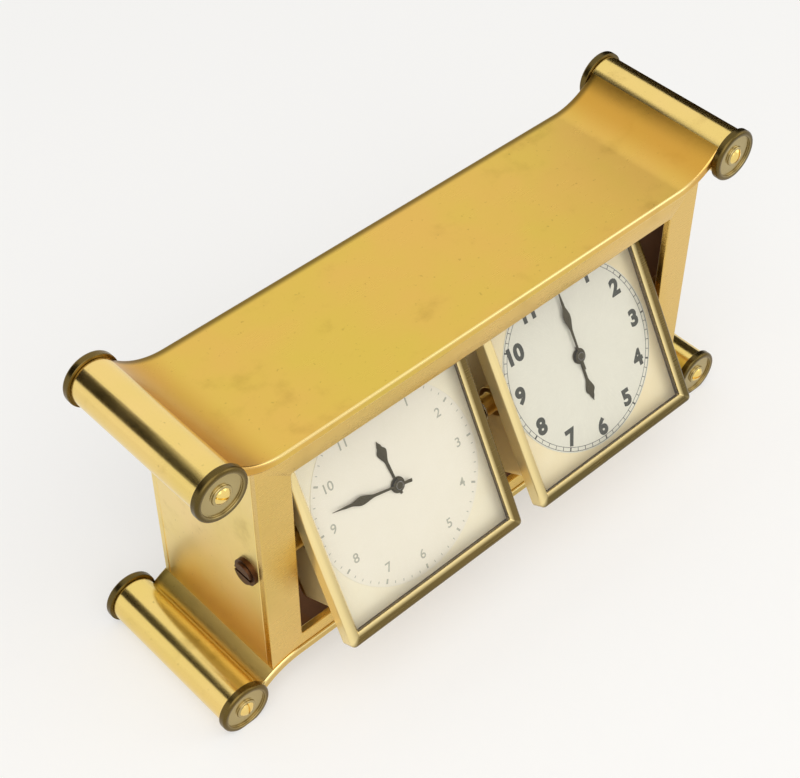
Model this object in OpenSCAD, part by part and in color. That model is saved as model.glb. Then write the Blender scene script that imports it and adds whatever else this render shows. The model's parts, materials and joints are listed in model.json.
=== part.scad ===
// Double-dial travel clock: a gilt brass case with scrolled ends and two
// square dial units that tilt by themselves on a common horizontal axis.

/* [Case] */
// Distance from an end panel's outer face out to the centre line of a roll
roll_out = 10; // [9:0.5:14]
// Height of a roll's centre line above the outer face of its plate
roll_lift = 2.3; // [1.6:0.1:4]
// Radius of each roll
roll_r = 6; // [5:0.1:7]
// Depth of the plates and length of the rolls, front to back
plate_depth = 42; // [40:1:60]
// Thickness of the top and bottom plates
plate_t = 2.5; // [1.5:0.1:3]
// Radius of the hollow sweep that carries a plate up to its roll
sweep_r = 18; // [12:0.5:24]
// Thickness of an end panel
panel_t = 2; // [1:0.1:3]
// Thickness of the front and rear frames
frame_t = 2; // [1:0.1:2.4]
// Step from a plate's edge back to the face of the frame below it
frame_step = 0.5; // [0.2:0.1:1]
// Width of a frame's stile, from the window out to the end panel's outer face
stile_w = 9.5; // [8:0.5:12]
// Height of the front frame's upper rail
upper_rail = 5.7; // [4.6:0.1:8]
// Height of the front frame's lower rail
lower_rail = 4; // [3.8:0.1:6]
// Height of each rail of the rear frame
rear_rail = 4.2; // [3.6:0.1:8]
// Width of a corner block
block_w = 12; // [8:1:13]
// Height of a corner block
block_h = 3.4; // [2:0.1:4]

/* [Rolls] */
// Radius of the flange of a roll cap
cap_r = 6.8; // [6:0.1:8]
// Thickness of a roll cap
cap_t = 2; // [1.2:0.1:3]
// Radius of the domed screw in a roll cap
cap_screw_r = 2; // [1.2:0.1:2.4]
// Height of the domed screw head
cap_screw_h = 0.9; // [0.5:0.1:1.2]
// Depth from a lower roll's centre line down to its ground foot
foot_drop = 5.9; // [5.6:0.05:5.95]

/* [Tilting units] */
// Side of the square bezel
bezel_w = 55; // [50:0.5:62]
// Gap between the two bezels
unit_gap = 6; // [5:0.5:9]
// Gap between a bezel and the side of the window
side_room = 2.5; // [1.5:0.1:4]
// Distance from the pivot axis forward to the front of the bezel
bezel_front = 10.2; // [9.8:0.1:11]
// Depth of the bezel, front to back
bezel_depth = 4.2; // [3.8:0.1:4.4]
// Width of the polished rim of the bezel
bezel_rim = 2.9; // [2:0.1:3.6]
// Bevel on the outer edge of the bezel
bezel_bevel = 0.6; // [0.2:0.1:1]
// Gap between a closed bezel and the front frame
closing_gap = 0.3; // [0.2:0.05:0.6]
// Overlap of a closed bezel on the lower rail
rail_overlap = 0.5; // [0.2:0.1:0.6]
// Room above the swinging bezel at the upper rail
upper_room = 0.4; // [0.2:0.1:1.5]
// Tilt of the left unit from upright, as it stands
left_tilt = 27; // [0:1:45]
// Tilt of the right unit from upright, as it stands
right_tilt = 30; // [0:1:45]

/* [Housing] */
// Step from the side of a bezel in to the side of its housing
housing_step = 4; // [3.8:0.1:5]
// Wall of the housing
housing_wall = 1.2; // [0.8:0.1:1.6]
// Outer corner radius of the housing
housing_corner = 3; // [2:0.5:4]
// Distance from the pivot axis back to the outside of the back cover
unit_back = 12.5; // [12.4:0.1:12.8]
// Thickness of the back cover
cover_t = 1.2; // [0.8:0.1:1.4]
// Width of the flange that carries the bezel
flange_w = 3; // [2.5:0.1:3.2]
// Thickness of that flange
flange_t = 1; // [0.6:0.1:1.2]
// Radius of a back cover screw head
cover_screw_r = 1.3; // [1:0.1:1.6]

/* [Dial and hands] */
// Thickness of the crystal
crystal_t = 1.2; // [0.8:0.1:1.3]
// Depth of the bezel lip in front of the crystal
lip_t = 1; // [0.6:0.1:1.2]
// Thickness of the dial plate
dial_t = 0.6; // [0.4:0.1:0.7]
// Length of a minute hand from its centre
minute_len = 19; // [14:0.5:21]
// Length of an hour hand from its centre
hour_len = 12.5; // [9:0.5:15]
// Width of a minute hand at its widest
minute_w = 1.5; // [1:0.1:2.2]
// Width of an hour hand at its widest
hour_w = 2.1; // [1.4:0.1:2.8]
// Radius of the hub ring of a minute hand
minute_hub_r = 1.6; // [1.4:0.1:2]
// Radius of the hub ring of an hour hand
hour_hub_r = 2; // [1.8:0.1:2.6]
// Thickness of each hand
hand_t = 0.25; // [0.2:0.05:0.3]
// Minutes past the hour on the left dial
left_minute = 47; // [0:1:59]
// Hour on the left dial
left_hour = 11; // [0:1:11]
// Minutes past the hour on the right dial
right_minute = 0; // [0:1:59]
// Hour on the right dial
right_hour = 6; // [0:1:11]

/* [Pivots] */
// Radius of a pivot shank
pivot_r = 1.5; // [1.2:0.1:1.8]
// Running clearance of the turning parts, on the radius
run_fit = 0.05; // [0.03:0.01:0.08]
// Radius of the round pivot head outside an end panel
pivot_head_r = 3.5; // [2.5:0.1:4]
// Height of that head
pivot_head_h = 1.8; // [1:0.1:2.5]
// Outer radius of a pivot bush and of its spacer
bush_r = 2.6; // [2.4:0.1:2.8]
// Radius of the flange of a pivot bush
bush_flange_r = 4; // [3:0.1:4.5]
// Thickness of a tension washer
washer_t = 0.5; // [0.3:0.1:0.8]
// Thickness of the centre bracket
bracket_t = 3; // [2:0.1:3]
// Distance from the pivot axis back to the centre bracket's post
arm_reach = 7; // [6:0.5:9]
// Depth of the centre bracket's post
post_d = 8; // [5:0.5:10]

/* [Movement] */
// Gap between the housing's inner wall and the square movement plates
movement_room = 2.3; // [1.6:0.1:3]
// Gap between the dial and the movement's front plate
front_room = 2; // [1.4:0.1:2.4]
// Gap between the movement's back plate and the back cover
back_room = 2.8; // [2.7:0.1:3.4]
// Thickness of a movement plate
movement_t = 1; // [0.6:0.1:1.2]
// Radius of a movement pillar
pillar_r = 1.6; // [1:0.1:2]
// Radius of the centre arbor
arbor_r = 0.7; // [0.5:0.05:0.8]
// Radius of the mainspring barrel
barrel_r = 7.5; // [6:0.5:8.5]
// Thickness of the mainspring barrel
barrel_t = 5; // [3:0.5:6]
// Radius of the winding arbor
winder_r = 1.2; // [0.9:0.1:1.6]
// Distance of the winding arbor from the two nearest edges of the movement plates
winder_edge = 11; // [10.5:0.5:12]
// Radius of the centre wheel
wheel_r = 8; // [6:0.5:9]
// Radius of the balance wheel
balance_r = 5.5; // [4:0.5:5.5]
// Distance of the balance from the two nearest edges of the movement plates
balance_edge = 9.5; // [9:0.5:10.5]
// Radius of the setting knob
knob_r = 4; // [3:0.1:4.5]
// Thickness of the setting knob
knob_t = 3; // [2:0.1:4]
// Span over the wings of the winding key
key_span = 14; // [10:0.5:15]
// Length of the winding key's wings, front to back
key_len = 5; // [3:0.5:6]

/* [Hidden] */
$fn = 64;
seat_fit = 0.02;
cut = 1;
thread_r = 1.1;
thread_head_r = 2.1;
thread_head_h = 1.1;
thread_bite = 1.5;
cap_thread_r = 0.8;
cap_thread_len = 3;
cap_edge_r = 0.5;
cap_rim_w = 1.4;
cap_ring_depth = 0.6;
cap_middle_w = 0.6;
slot_w = 0.8;
hand_gap = 0.25;
crystal_fit = 0.1;
window_seat = 1;
window_slope = 1.2;
hour_tube_t = 0.4;
washer_w = 0.6;
bush_flange_t = 1;
bush_in = 1;
pivot_in = 1;
cover_gap = 0.5;
cover_shank_r = 0.7;
cover_screw_h = 0.7;
cover_screw_edge = 0.6;
hole_room = 0.3;
plate_corner = 2;
lug_r = 1.5;
pillar_edge = 2;
wheel_t = 0.6;
wheel_gap = 0.6;
barrel_gap = 0.5;
staff_r = 0.4;
balance_t = 0.5;
balance_gap = 0.5;
cock_lift = 1.4;
cock_t = 0.9;
key_wing_t = 1.4;
key_stem_len = 2.5;

// Two units side by side set the case's width, and the swing of a bezel its height
bezel_half = bezel_w / 2;
unit_pitch = bezel_w + unit_gap;
unit_x = unit_pitch / 2;
window_w = unit_pitch + bezel_w + 2 * side_room;
box_w = window_w + 2 * stile_w;
roll_span = box_w + 2 * roll_out;
swing_r = norm([bezel_half, bezel_front]);
below_pivot = lower_rail - rail_overlap + bezel_half;
plate_in = (below_pivot + swing_r + upper_room + upper_rail) / 2;
pivot_z = below_pivot - plate_in;
case_h = 2 * (plate_in + plate_t);
roll_rise = case_h + 2 * roll_lift;
case_z = foot_drop + roll_rise / 2;
upper_edge = pivot_z + swing_r + upper_room;
lower_edge = lower_rail - plate_in;

half_depth = plate_depth / 2;
frame_face = half_depth - frame_step;
sweep_z = case_h / 2 + sweep_r;
sweep_drop = sweep_r - roll_lift;
sweep_x = roll_span / 2 - sqrt(pow(sweep_r + roll_r, 2) - pow(sweep_drop, 2));
bezel_back = bezel_front - bezel_depth;
pivot_y = bezel_back - closing_gap - frame_face;
window_half = bezel_half - bezel_rim;
seat_half = window_half + window_seat;
crystal_y = -bezel_front + lip_t;
dial_y = -bezel_back - dial_t;
hour_y = dial_y - hand_gap - hand_t;
minute_y = hour_y - hand_gap - hand_t;
hour_tube_r = arbor_r + run_fit + hour_tube_t;

housing_w = bezel_w - 2 * housing_step;
housing_half = housing_w / 2;
wall_in = housing_half - housing_wall;
cover_y = unit_back - cover_t;
key_y = unit_back + cover_gap;
cover_screw_off = wall_in - cover_screw_r - cover_screw_edge;
outer_run = box_w / 2 - panel_t;
bush_out = window_w / 2;
bracket_half = bracket_t / 2;

movement_half = wall_in - movement_room;
front_plate_y = -bezel_back + front_room;
back_plate_y = cover_y - back_room - movement_t;
winder_off = movement_half - winder_edge;
balance_off = movement_half - balance_edge;

// How far the tilted units stand forward, and the caps back
function reach(tilt) = bezel_front * cos(tilt) + (bezel_half - bezel_bevel) * sin(tilt) - pivot_y;
front_reach = max(reach(left_tilt), reach(right_tilt));
rear_reach = half_depth + cap_t + cap_screw_h;
case_y = (front_reach - rear_reach) / 2;

function tilt_of(side) = side < 0 ? left_tilt : right_tilt;
function minute_of(side) = side < 0 ? left_minute : right_minute;
function hour_of(side) = side < 0 ? left_hour : right_hour;
function minute_turn(side) = minute_of(side) * 6;
function hour_turn(side) = hour_of(side) * 30 + minute_of(side) / 2;

BRASS = [0.84, 0.68, 0.36];
PALE_BRASS = [0.9, 0.78, 0.5];
DARK = [0.27, 0.17, 0.1];
STEEL = [0.7, 0.7, 0.72];
SILVER = [0.88, 0.88, 0.85];

// Places

// The case stands with its middle above the origin
module in_case() {
    translate([0, case_y, case_z]) children();
}

// A unit's own frame: origin on the pivot axis at the dial's middle, +Y to the back
module in_unit(side) {
    in_case()
        translate([side * unit_x, pivot_y, pivot_z])
            rotate([-tilt_of(side), 0, 0])
                children();
}

// A flat shape in X and Z, drawn from depth y backwards
module slab(y, depth) {
    translate([0, y + depth, 0])
        rotate([90, 0, 0])
            linear_extrude(depth) children();
}

// A round bar from depth y backwards
module bar_y(y, depth, r) {
    slab(y, depth) circle(r);
}

// A round bar along X from x0 to x1
module bar_x(x0, x1, r) {
    translate([min(x0, x1), 0, 0])
        rotate([0, 90, 0])
            cylinder(h = abs(x1 - x0), r = r);
}

module rounded_square(half, r) {
    square([2 * half, 2 * (half - r)], center = true);
    square([2 * (half - r), 2 * half], center = true);
    for (x = [-1, 1], z = [-1, 1])
        translate([x * (half - r), z * (half - r)]) circle(r);
}

// Case

// All that lies above the underside of the top plate
module above_plates() {
    translate([-sweep_x, plate_in]) square([2 * sweep_x, roll_rise]);
    for (x = [-1, 1])
        translate([x * sweep_x, sweep_z]) circle(sweep_r + plate_t);
}

// The space between the plates, from x0 to x1
module between_plates(x0, x1) {
    difference() {
        translate([x0, -roll_rise / 2]) square([x1 - x0, roll_rise]);
        above_plates();
        mirror([0, 1]) above_plates();
    }
}

// Half of a plate's section: flat, then swept up to the flank of the roll
module plate_half() {
    to_roll = [roll_span / 2 - sweep_x, -sweep_drop];
    difference() {
        union() {
            translate([0, plate_in]) square([sweep_x, plate_t]);
            translate([sweep_x, sweep_z])
                intersection() {
                    difference() {
                        circle(sweep_r + plate_t);
                        circle(sweep_r);
                    }
                    polygon([[0, 0], [0, -2 * sweep_z], [2 * to_roll[0], 2 * to_roll[1]]]);
                }
        }
        translate([roll_span / 2, roll_rise / 2]) circle(roll_r + seat_fit);
    }
}

module plate() {
    slab(-half_depth, plate_depth) {
        plate_half();
        mirror([1, 0]) plate_half();
    }
}

module screw_places() {
    for (x = [-1, 1], y = [-1, 1])
        translate([x * (outer_run - block_w * 2 / 3), y * half_depth * 0.6, 0]) children();
}

module top_plate() {
    color(BRASS) in_case() difference() {
        plate();
        translate([0, 0, plate_in - cut])
            screw_places() cylinder(h = cut + thread_bite, r = thread_r);
    }
}

module bottom_plate() {
    color(BRASS) in_case() difference() {
        mirror([0, 0, 1]) plate();
        translate([0, 0, -case_h / 2 - cut])
            screw_places() {
                cylinder(h = plate_t + 2 * cut, r = thread_r);
                cylinder(h = cut + thread_head_h, r = thread_head_r);
            }
    }
}

module end_panel(side) {
    color(BRASS) in_case() difference() {
        slab(-frame_face + frame_t, 2 * (frame_face - frame_t))
            mirror([side < 0 ? 1 : 0, 0])
                between_plates(outer_run, box_w / 2);
        translate([0, pivot_y, pivot_z])
            bar_x(side * (outer_run - cut), side * (box_w / 2 + cut), pivot_r + seat_fit);
    }
}

module frame_plate(low, high) {
    slab(-frame_face, frame_t) difference() {
        between_plates(-box_w / 2, box_w / 2);
        translate([-window_w / 2, low]) square([window_w, high - low]);
    }
}

module front_frame() {
    color(PALE_BRASS) in_case() frame_plate(lower_edge, upper_edge);
}

module rear_frame() {
    color(BRASS) in_case()
        mirror([0, 1, 0]) frame_plate(rear_rail - plate_in, plate_in - rear_rail);
}

// A post behind the units with an arm that carries the pin between them
module centre_bracket() {
    arm_r = bush_r + washer_w;
    post_y = pivot_y + arm_reach;
    color(DARK) in_case() difference() {
        translate([-bracket_half, 0, 0]) rotate([90, 0, 90]) linear_extrude(bracket_t) {
            translate([post_y, -plate_in]) square([post_d, 2 * plate_in]);
            translate([pivot_y, pivot_z - arm_r]) square([arm_reach + post_d / 2, 2 * arm_r]);
            translate([pivot_y, pivot_z]) circle(arm_r);
        }
        translate([0, pivot_y, pivot_z])
            bar_x(-bracket_t, bracket_t, pivot_r + seat_fit);
    }
}

// Four bars in the long corners that tie plates, panels and frames together
module corner_blocks() {
    length = 2 * (frame_face - frame_t);
    color(BRASS) in_case() difference() {
        for (x = [-1, 1], z = [-1, 1])
            slab(-length / 2, length)
                scale([x, z]) intersection() {
                    between_plates(outer_run - block_w, outer_run);
                    translate([0, plate_in - block_h]) square([box_w, block_h + plate_t]);
                }
        for (z = [-1, 1])
            translate([0, 0, z * plate_in - case_h / 2])
                screw_places() cylinder(h = case_h, r = thread_r);
    }
}

// Screws from below into the lower blocks, and from inside up through the upper ones
module case_screws() {
    color(STEEL) in_case() {
        translate([0, 0, -case_h / 2])
            screw_places() {
                cylinder(h = thread_head_h, r = thread_head_r);
                cylinder(h = plate_t + block_h, r = thread_r);
            }
        translate([0, 0, plate_in - block_h])
            screw_places() {
                cylinder(h = block_h + thread_bite, r = thread_r);
                mirror([0, 0, 1]) cylinder(h = thread_head_h, r = thread_head_r);
            }
    }
}

// Rolls

module at_roll(x, z) {
    in_case() translate([x * roll_span / 2, 0, z * roll_rise / 2]) children();
}

// What the ground foot takes off a lower roll and its caps
module foot_cut() {
    translate([-2 * cap_r, -plate_depth, -foot_drop - 2 * cap_r])
        cube([4 * cap_r, 2 * plate_depth, 2 * cap_r]);
}

module roll(x, z) {
    color(BRASS) at_roll(x, z) difference() {
        bar_y(-half_depth, plate_depth, roll_r);
        for (y = [-1, 1])
            translate([0, y * half_depth, 0])
                bar_y(-cap_thread_len, 2 * cap_thread_len, cap_thread_r);
        if (z < 0) foot_cut();
    }
}

// A turned cap: rounded rim, sunk ring and raised middle
module roll_cap() {
    rotate([90, 0, 0]) difference() {
        rotate_extrude() {
            square([cap_r - cap_edge_r, cap_t]);
            translate([0, cap_edge_r]) square([cap_r, cap_t - 2 * cap_edge_r]);
            for (z = [cap_edge_r, cap_t - cap_edge_r])
                translate([cap_r - cap_edge_r, z]) circle(cap_edge_r);
        }
        translate([0, 0, cap_t - cap_ring_depth]) difference() {
            cylinder(h = cap_t, r = cap_r - cap_rim_w);
            translate([0, 0, -cut]) cylinder(h = 2 * cap_t, r = cap_screw_r + cap_middle_w);
        }
        translate([0, 0, -cut]) cylinder(h = cap_t + 2 * cut, r = cap_thread_r);
    }
}

module roll_caps(side) {
    color(PALE_BRASS)
        for (x = [-1, 1], z = [-1, 1])
            at_roll(x, z) difference() {
                mirror([0, side > 0 ? 1 : 0, 0])
                    translate([0, -half_depth, 0]) roll_cap();
                if (z < 0) foot_cut();
            }
}

// A low dome on a short thread
module cap_screw() {
    dome_r = (pow(cap_screw_r, 2) + pow(cap_screw_h, 2)) / (2 * cap_screw_h);
    rotate([90, 0, 0]) {
        intersection() {
            translate([0, 0, cap_screw_h - dome_r]) sphere(dome_r);
            cylinder(h = cap_screw_h, r = cap_screw_r);
        }
        translate([0, 0, -cap_t - cap_thread_len])
            cylinder(h = cap_t + cap_thread_len + cap_screw_h / 4, r = cap_thread_r);
    }
}

module roll_cap_screws() {
    color(PALE_BRASS)
        for (x = [-1, 1], z = [-1, 1], y = [0, 1])
            at_roll(x, z) mirror([0, y, 0])
                translate([0, -half_depth - cap_t, 0]) cap_screw();
}

// Pivots of the units

module pivot_screw(side) {
    head = box_w / 2;
    inner = unit_x + wall_in - pivot_in;
    color(DARK) in_case() translate([0, pivot_y, pivot_z]) difference() {
        union() {
            bar_x(side * head, side * (head + pivot_head_h * 0.6), pivot_head_r);
            bar_x(side * head, side * (head + pivot_head_h), pivot_head_r * 0.8);
            bar_x(side * inner, side * head, pivot_r);
        }
        translate([side * (head + pivot_head_h), 0, 0])
            cube([pivot_head_h * 0.6, 2 * pivot_head_r + cut, slot_w], center = true);
    }
}

module centre_pivot_pin() {
    inner = unit_x - wall_in + pivot_in;
    color(STEEL) in_case() translate([0, pivot_y, pivot_z])
        bar_x(-inner, inner, pivot_r);
}

module tube_x(x0, x1, r_out, r_in) {
    middle = (x0 + x1) / 2;
    reach = abs(x1 - x0);
    difference() {
        bar_x(x0, x1, r_out);
        bar_x(middle - reach, middle + reach, r_in);
    }
}

module pivot_spacers() {
    color(BRASS) in_case() translate([0, pivot_y, pivot_z])
        for (side = [-1, 1])
            tube_x(side * (bush_out + washer_t + 2 * run_fit), side * outer_run,
                bush_r, pivot_r + seat_fit);
}

module tension_washers() {
    washer_r = bush_r + washer_w;
    color(STEEL) in_case() translate([0, pivot_y, pivot_z])
        for (side = [-1, 1]) {
            tube_x(side * (bush_out + 2 * run_fit), side * (bush_out + washer_t + 2 * run_fit),
                washer_r, pivot_r + seat_fit);
            tube_x(side * bracket_half, side * (bracket_half + washer_t),
                washer_r, pivot_r + seat_fit);
        }
}

module pivot_bushes(side) {
    outer_end = bush_out - unit_x;
    inner_end = unit_x - bracket_half - washer_t - 2 * run_fit;
    color(PALE_BRASS) in_unit(side)
        for (end = [[side, outer_end], [-side, inner_end]]) {
            tube_x(end[0] * (wall_in - bush_in), end[0] * end[1], bush_r, pivot_r + run_fit);
            tube_x(end[0] * housing_half, end[0] * (housing_half + bush_flange_t),
                bush_flange_r, (bush_r + pivot_r) / 2);
        }
}

// Tilting units

// A square ring whose section is a list of points: out from the middle, and depth
module mitred_ring(section) {
    size = bezel_w;
    for (turn = [0:90:270])
        rotate([0, turn, 0]) intersection() {
            translate([-size, 0, 0]) rotate([90, 0, 90]) linear_extrude(2 * size)
                polygon([for (p = section) [p[1], p[0]]]);
            slab(-size, 2 * size) polygon([[0, 0], [size, size], [-size, size]]);
        }
}

module bezel(side) {
    color(PALE_BRASS) in_unit(side)
        mitred_ring([
            [bezel_half, -bezel_back],
            [bezel_half, bezel_bevel - bezel_front],
            [bezel_half - bezel_bevel, -bezel_front],
            [window_half + window_slope, -bezel_front],
            [window_half, 0.8 * lip_t - bezel_front],
            [window_half, crystal_y],
            [seat_half, crystal_y],
            [seat_half, -bezel_back]
        ]);
}

module crystal(side) {
    color(SILVER, 0.3) in_unit(side)
        slab(crystal_y, crystal_t) square(2 * (seat_half - crystal_fit), center = true);
}

module dial(side) {
    color(SILVER) in_unit(side) slab(dial_y, dial_t) difference() {
        square(2 * (seat_half - crystal_fit), center = true);
        circle(hour_tube_r + run_fit);
    }
}

// A lance-shaped hand pointing up: ring, slim neck, swelling blade and a short tail
module hand(y, length, width, hub_r, bore_r) {
    root = (hub_r + bore_r) / 2;
    neck = width * 0.22;
    tail = length * 0.16;
    slab(y, hand_t) difference() {
        circle(hub_r);
        circle(bore_r);
    }
    slab(y, hand_t) polygon([
        [-neck, root], [-neck, length * 0.35], [-width / 2, length * 0.55], [0, length],
        [width / 2, length * 0.55], [neck, length * 0.35], [neck, root]
    ]);
    slab(y, hand_t) translate([-neck, -tail]) square([2 * neck, tail - root]);
}

// A dial turns clockwise seen from the front
module turned(angle) {
    rotate([0, angle, 0]) children();
}

module hour_hand(side) {
    color(DARK) in_unit(side) turned(hour_turn(side)) {
        hand(hour_y, hour_len, hour_w, hour_hub_r, arbor_r + run_fit);
        slab(hour_y, front_plate_y - hand_gap - hour_y) difference() {
            circle(hour_tube_r);
            circle(arbor_r + run_fit);
        }
    }
}

module minute_hand(side) {
    color(DARK) in_unit(side) turned(minute_turn(side))
        hand(minute_y, minute_len, minute_w, minute_hub_r, arbor_r);
}

module centre_arbor(side) {
    color(STEEL) in_unit(side) {
        bar_y(minute_y - hand_t, key_y + knob_t - minute_y + hand_t, arbor_r);
        bar_y(minute_y - hand_t, hand_t, arbor_r * 1.4);
    }
}

module housing(side) {
    color(BRASS) in_unit(side) difference() {
        union() {
            slab(-bezel_back, cover_y + bezel_back) rounded_square(housing_half, housing_corner);
            slab(-bezel_back, flange_t) square(housing_w + 2 * flange_w, center = true);
        }
        slab(-bezel_back - cut, cover_y + bezel_back + 2 * cut)
            rounded_square(wall_in, housing_corner - housing_wall);
        bar_x(-housing_w, housing_w, bush_r);
    }
}

module cover_screw_places() {
    for (x = [-1, 1], z = [-1, 1])
        translate([x * cover_screw_off, 0, z * cover_screw_off]) children();
}

module back_cover(side) {
    color(BRASS) in_unit(side) difference() {
        slab(cover_y, cover_t) rounded_square(housing_half, housing_corner);
        bar_y(cover_y - cut, cover_t + 2 * cut, arbor_r + hole_room);
        translate([side * winder_off, 0, -winder_off])
            bar_y(cover_y - cut, cover_t + 2 * cut, winder_r + hole_room);
        cover_screw_places() bar_y(cover_y - cut, cover_t + 2 * cut, cover_shank_r);
    }
}

// Each screw goes through the cover into a lug of the movement's back plate
module cover_screws(side) {
    color(STEEL) in_unit(side) cover_screw_places() difference() {
        union() {
            bar_y(unit_back, cover_screw_h, cover_screw_r);
            bar_y(back_plate_y, unit_back - back_plate_y, cover_shank_r);
        }
        translate([0, unit_back + cover_screw_h, 0])
            cube([3 * cover_screw_r, cover_screw_h, slot_w / 2], center = true);
    }
}

module movement_plates(side) {
    post = movement_half - pillar_r - pillar_edge;
    neck = cover_screw_off - lug_r;
    through = back_plate_y - front_plate_y + movement_t + 2 * cut;
    color(PALE_BRASS) in_unit(side) difference() {
        union() {
            for (y = [front_plate_y, back_plate_y])
                slab(y, movement_t) rounded_square(movement_half, plate_corner);
            slab(back_plate_y, movement_t)
                for (x = [-1, 1], z = [-1, 1]) {
                    translate([x * cover_screw_off, z * cover_screw_off]) circle(lug_r);
                    translate([x * neck, z * neck]) rotate(45 * x * z)
                        square([3 * lug_r, 2 * lug_r], center = true);
                }
            for (x = [-1, 1], z = [-1, 1])
                translate([x * post, 0, z * post])
                    bar_y(-bezel_back, back_plate_y + bezel_back, pillar_r);
        }
        bar_y(front_plate_y - cut, through, arbor_r + run_fit);
        translate([side * winder_off, 0, -winder_off])
            bar_y(front_plate_y - cut, through, winder_r + run_fit);
        translate([-side * balance_off, 0, balance_off])
            bar_y(back_plate_y - cut, movement_t + 2 * cut, staff_r + run_fit);
        cover_screw_places()
            bar_y(back_plate_y - cut, movement_t + 2 * cut, cover_shank_r + seat_fit);
    }
}

// A crossed-out wheel with four spokes
module spoked_wheel(r, rim, bore_r) {
    spoke = rim * 0.65;
    difference() {
        circle(r);
        difference() {
            circle(r - rim);
            circle(bore_r + rim * 0.7);
            square([2 * r, spoke], center = true);
            square([spoke, 2 * r], center = true);
        }
        circle(bore_r);
    }
}

module centre_wheel(side) {
    color(BRASS) in_unit(side)
        slab(front_plate_y + movement_t + wheel_gap, wheel_t)
            spoked_wheel(wheel_r, wheel_r / 6, arbor_r);
}

module mainspring_barrel(side) {
    barrel_y = back_plate_y - barrel_gap - barrel_t;
    color(BRASS) in_unit(side) translate([side * winder_off, 0, -winder_off]) {
        bar_y(barrel_y, barrel_t, barrel_r);
        bar_y(front_plate_y, key_y + key_stem_len / 2 - front_plate_y, winder_r);
    }
}

module balance_wheel(side) {
    color(BRASS) in_unit(side) translate([-side * balance_off, 0, balance_off]) {
        slab(back_plate_y + movement_t + balance_gap, balance_t)
            spoked_wheel(balance_r, balance_r / 6, staff_r * 0.75);
        bar_y(back_plate_y + movement_t / 4, movement_t * 3 / 4 + cock_lift + cock_t * 2 / 3, staff_r);
    }
}

// A bridge on the back plate that holds the outer end of the balance staff
module balance_cock(side) {
    foot_w = balance_r * 0.3;
    foot_x = balance_off + balance_r * 1.27;
    arm_y = back_plate_y + movement_t + cock_lift;
    color(STEEL) in_unit(side) difference() {
        union() {
            slab(back_plate_y + movement_t, cock_lift)
                translate([-side * foot_x, balance_off]) square([foot_w, 3 * foot_w], center = true);
            slab(arm_y, cock_t) {
                translate([-side * (foot_x + balance_off) / 2, balance_off])
                    square([foot_x - balance_off + foot_w, foot_w * 1.5], center = true);
                translate([-side * balance_off, balance_off]) circle(staff_r * 3);
            }
        }
        translate([-side * balance_off, 0, balance_off])
            bar_y(arm_y - cut, cock_t + 2 * cut, staff_r + run_fit);
    }
}

// A fluted knob on the back end of the centre arbor
module setting_knob(side) {
    flutes = 16;
    color(PALE_BRASS) in_unit(side) slab(key_y, knob_t) difference() {
        circle(knob_r);
        for (i = [0:flutes - 1])
            rotate(i * 360 / flutes) translate([knob_r * 1.04, 0]) circle(knob_r * 0.11);
        circle(arbor_r);
    }
}

// A butterfly key: a round stem with two flat wings
module winding_key(side) {
    stem_r = winder_r * 2;
    wing_r = key_len / 2;
    color(PALE_BRASS) in_unit(side) translate([side * winder_off, 0, -winder_off])
        rotate([0, side * 45, 0]) difference() {
            union() {
                bar_y(key_y, key_stem_len, stem_r);
                translate([0, key_y + key_stem_len * 0.6 + wing_r, 0]) intersection() {
                    cube([key_span, key_len, key_wing_t], center = true);
                    union() {
                        for (x = [-1, 1])
                            translate([x * (key_span / 2 - wing_r), 0, -key_wing_t])
                                cylinder(h = 2 * key_wing_t, r = wing_r);
                        cube([key_span - key_len, key_len * 0.7, key_wing_t], center = true);
                    }
                }
            }
            bar_y(key_y - cut, cut + key_stem_len / 2, winder_r);
        }
}

top_plate();
bottom_plate();
end_panel(-1);  // left_end_panel
end_panel(1);  // right_end_panel
front_frame();
rear_frame();
centre_bracket();
corner_blocks();
case_screws();
roll(-1, 1);  // top_left_roll
roll(1, 1);  // top_right_roll
roll(-1, -1);  // bottom_left_roll
roll(1, -1);  // bottom_right_roll
roll_caps(-1);  // front_roll_caps
roll_caps(1);  // rear_roll_caps
roll_cap_screws();
pivot_screw(-1);  // left_pivot_screw
pivot_screw(1);  // right_pivot_screw
centre_pivot_pin();
pivot_spacers();
tension_washers();
bezel(-1);  // left_bezel
crystal(-1);  // left_crystal
dial(-1);  // left_dial
hour_hand(-1);  // left_hour_hand
minute_hand(-1);  // left_minute_hand
housing(-1);  // left_housing
pivot_bushes(-1);  // left_pivot_bushes
back_cover(-1);  // left_back_cover
cover_screws(-1);  // left_cover_screws
movement_plates(-1);  // left_movement_plates
centre_arbor(-1);  // left_centre_arbor
centre_wheel(-1);  // left_centre_wheel
mainspring_barrel(-1);  // left_mainspring_barrel
balance_wheel(-1);  // left_balance_wheel
balance_cock(-1);  // left_balance_cock
setting_knob(-1);  // left_setting_knob
winding_key(-1);  // left_winding_key
bezel(1);  // right_bezel
crystal(1);  // right_crystal
dial(1);  // right_dial
hour_hand(1);  // right_hour_hand
minute_hand(1);  // right_minute_hand
housing(1);  // right_housing
pivot_bushes(1);  // right_pivot_bushes
back_cover(1);  // right_back_cover
cover_screws(1);  // right_cover_screws
movement_plates(1);  // right_movement_plates
centre_arbor(1);  // right_centre_arbor
centre_wheel(1);  // right_centre_wheel
mainspring_barrel(1);  // right_mainspring_barrel
balance_wheel(1);  // right_balance_wheel
balance_cock(1);  // right_balance_cock
setting_knob(1);  // right_setting_knob
winding_key(1);  // right_winding_key
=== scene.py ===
import json
import math

import bmesh
import bpy
import numpy as np
from mathutils import Matrix, Vector

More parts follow.
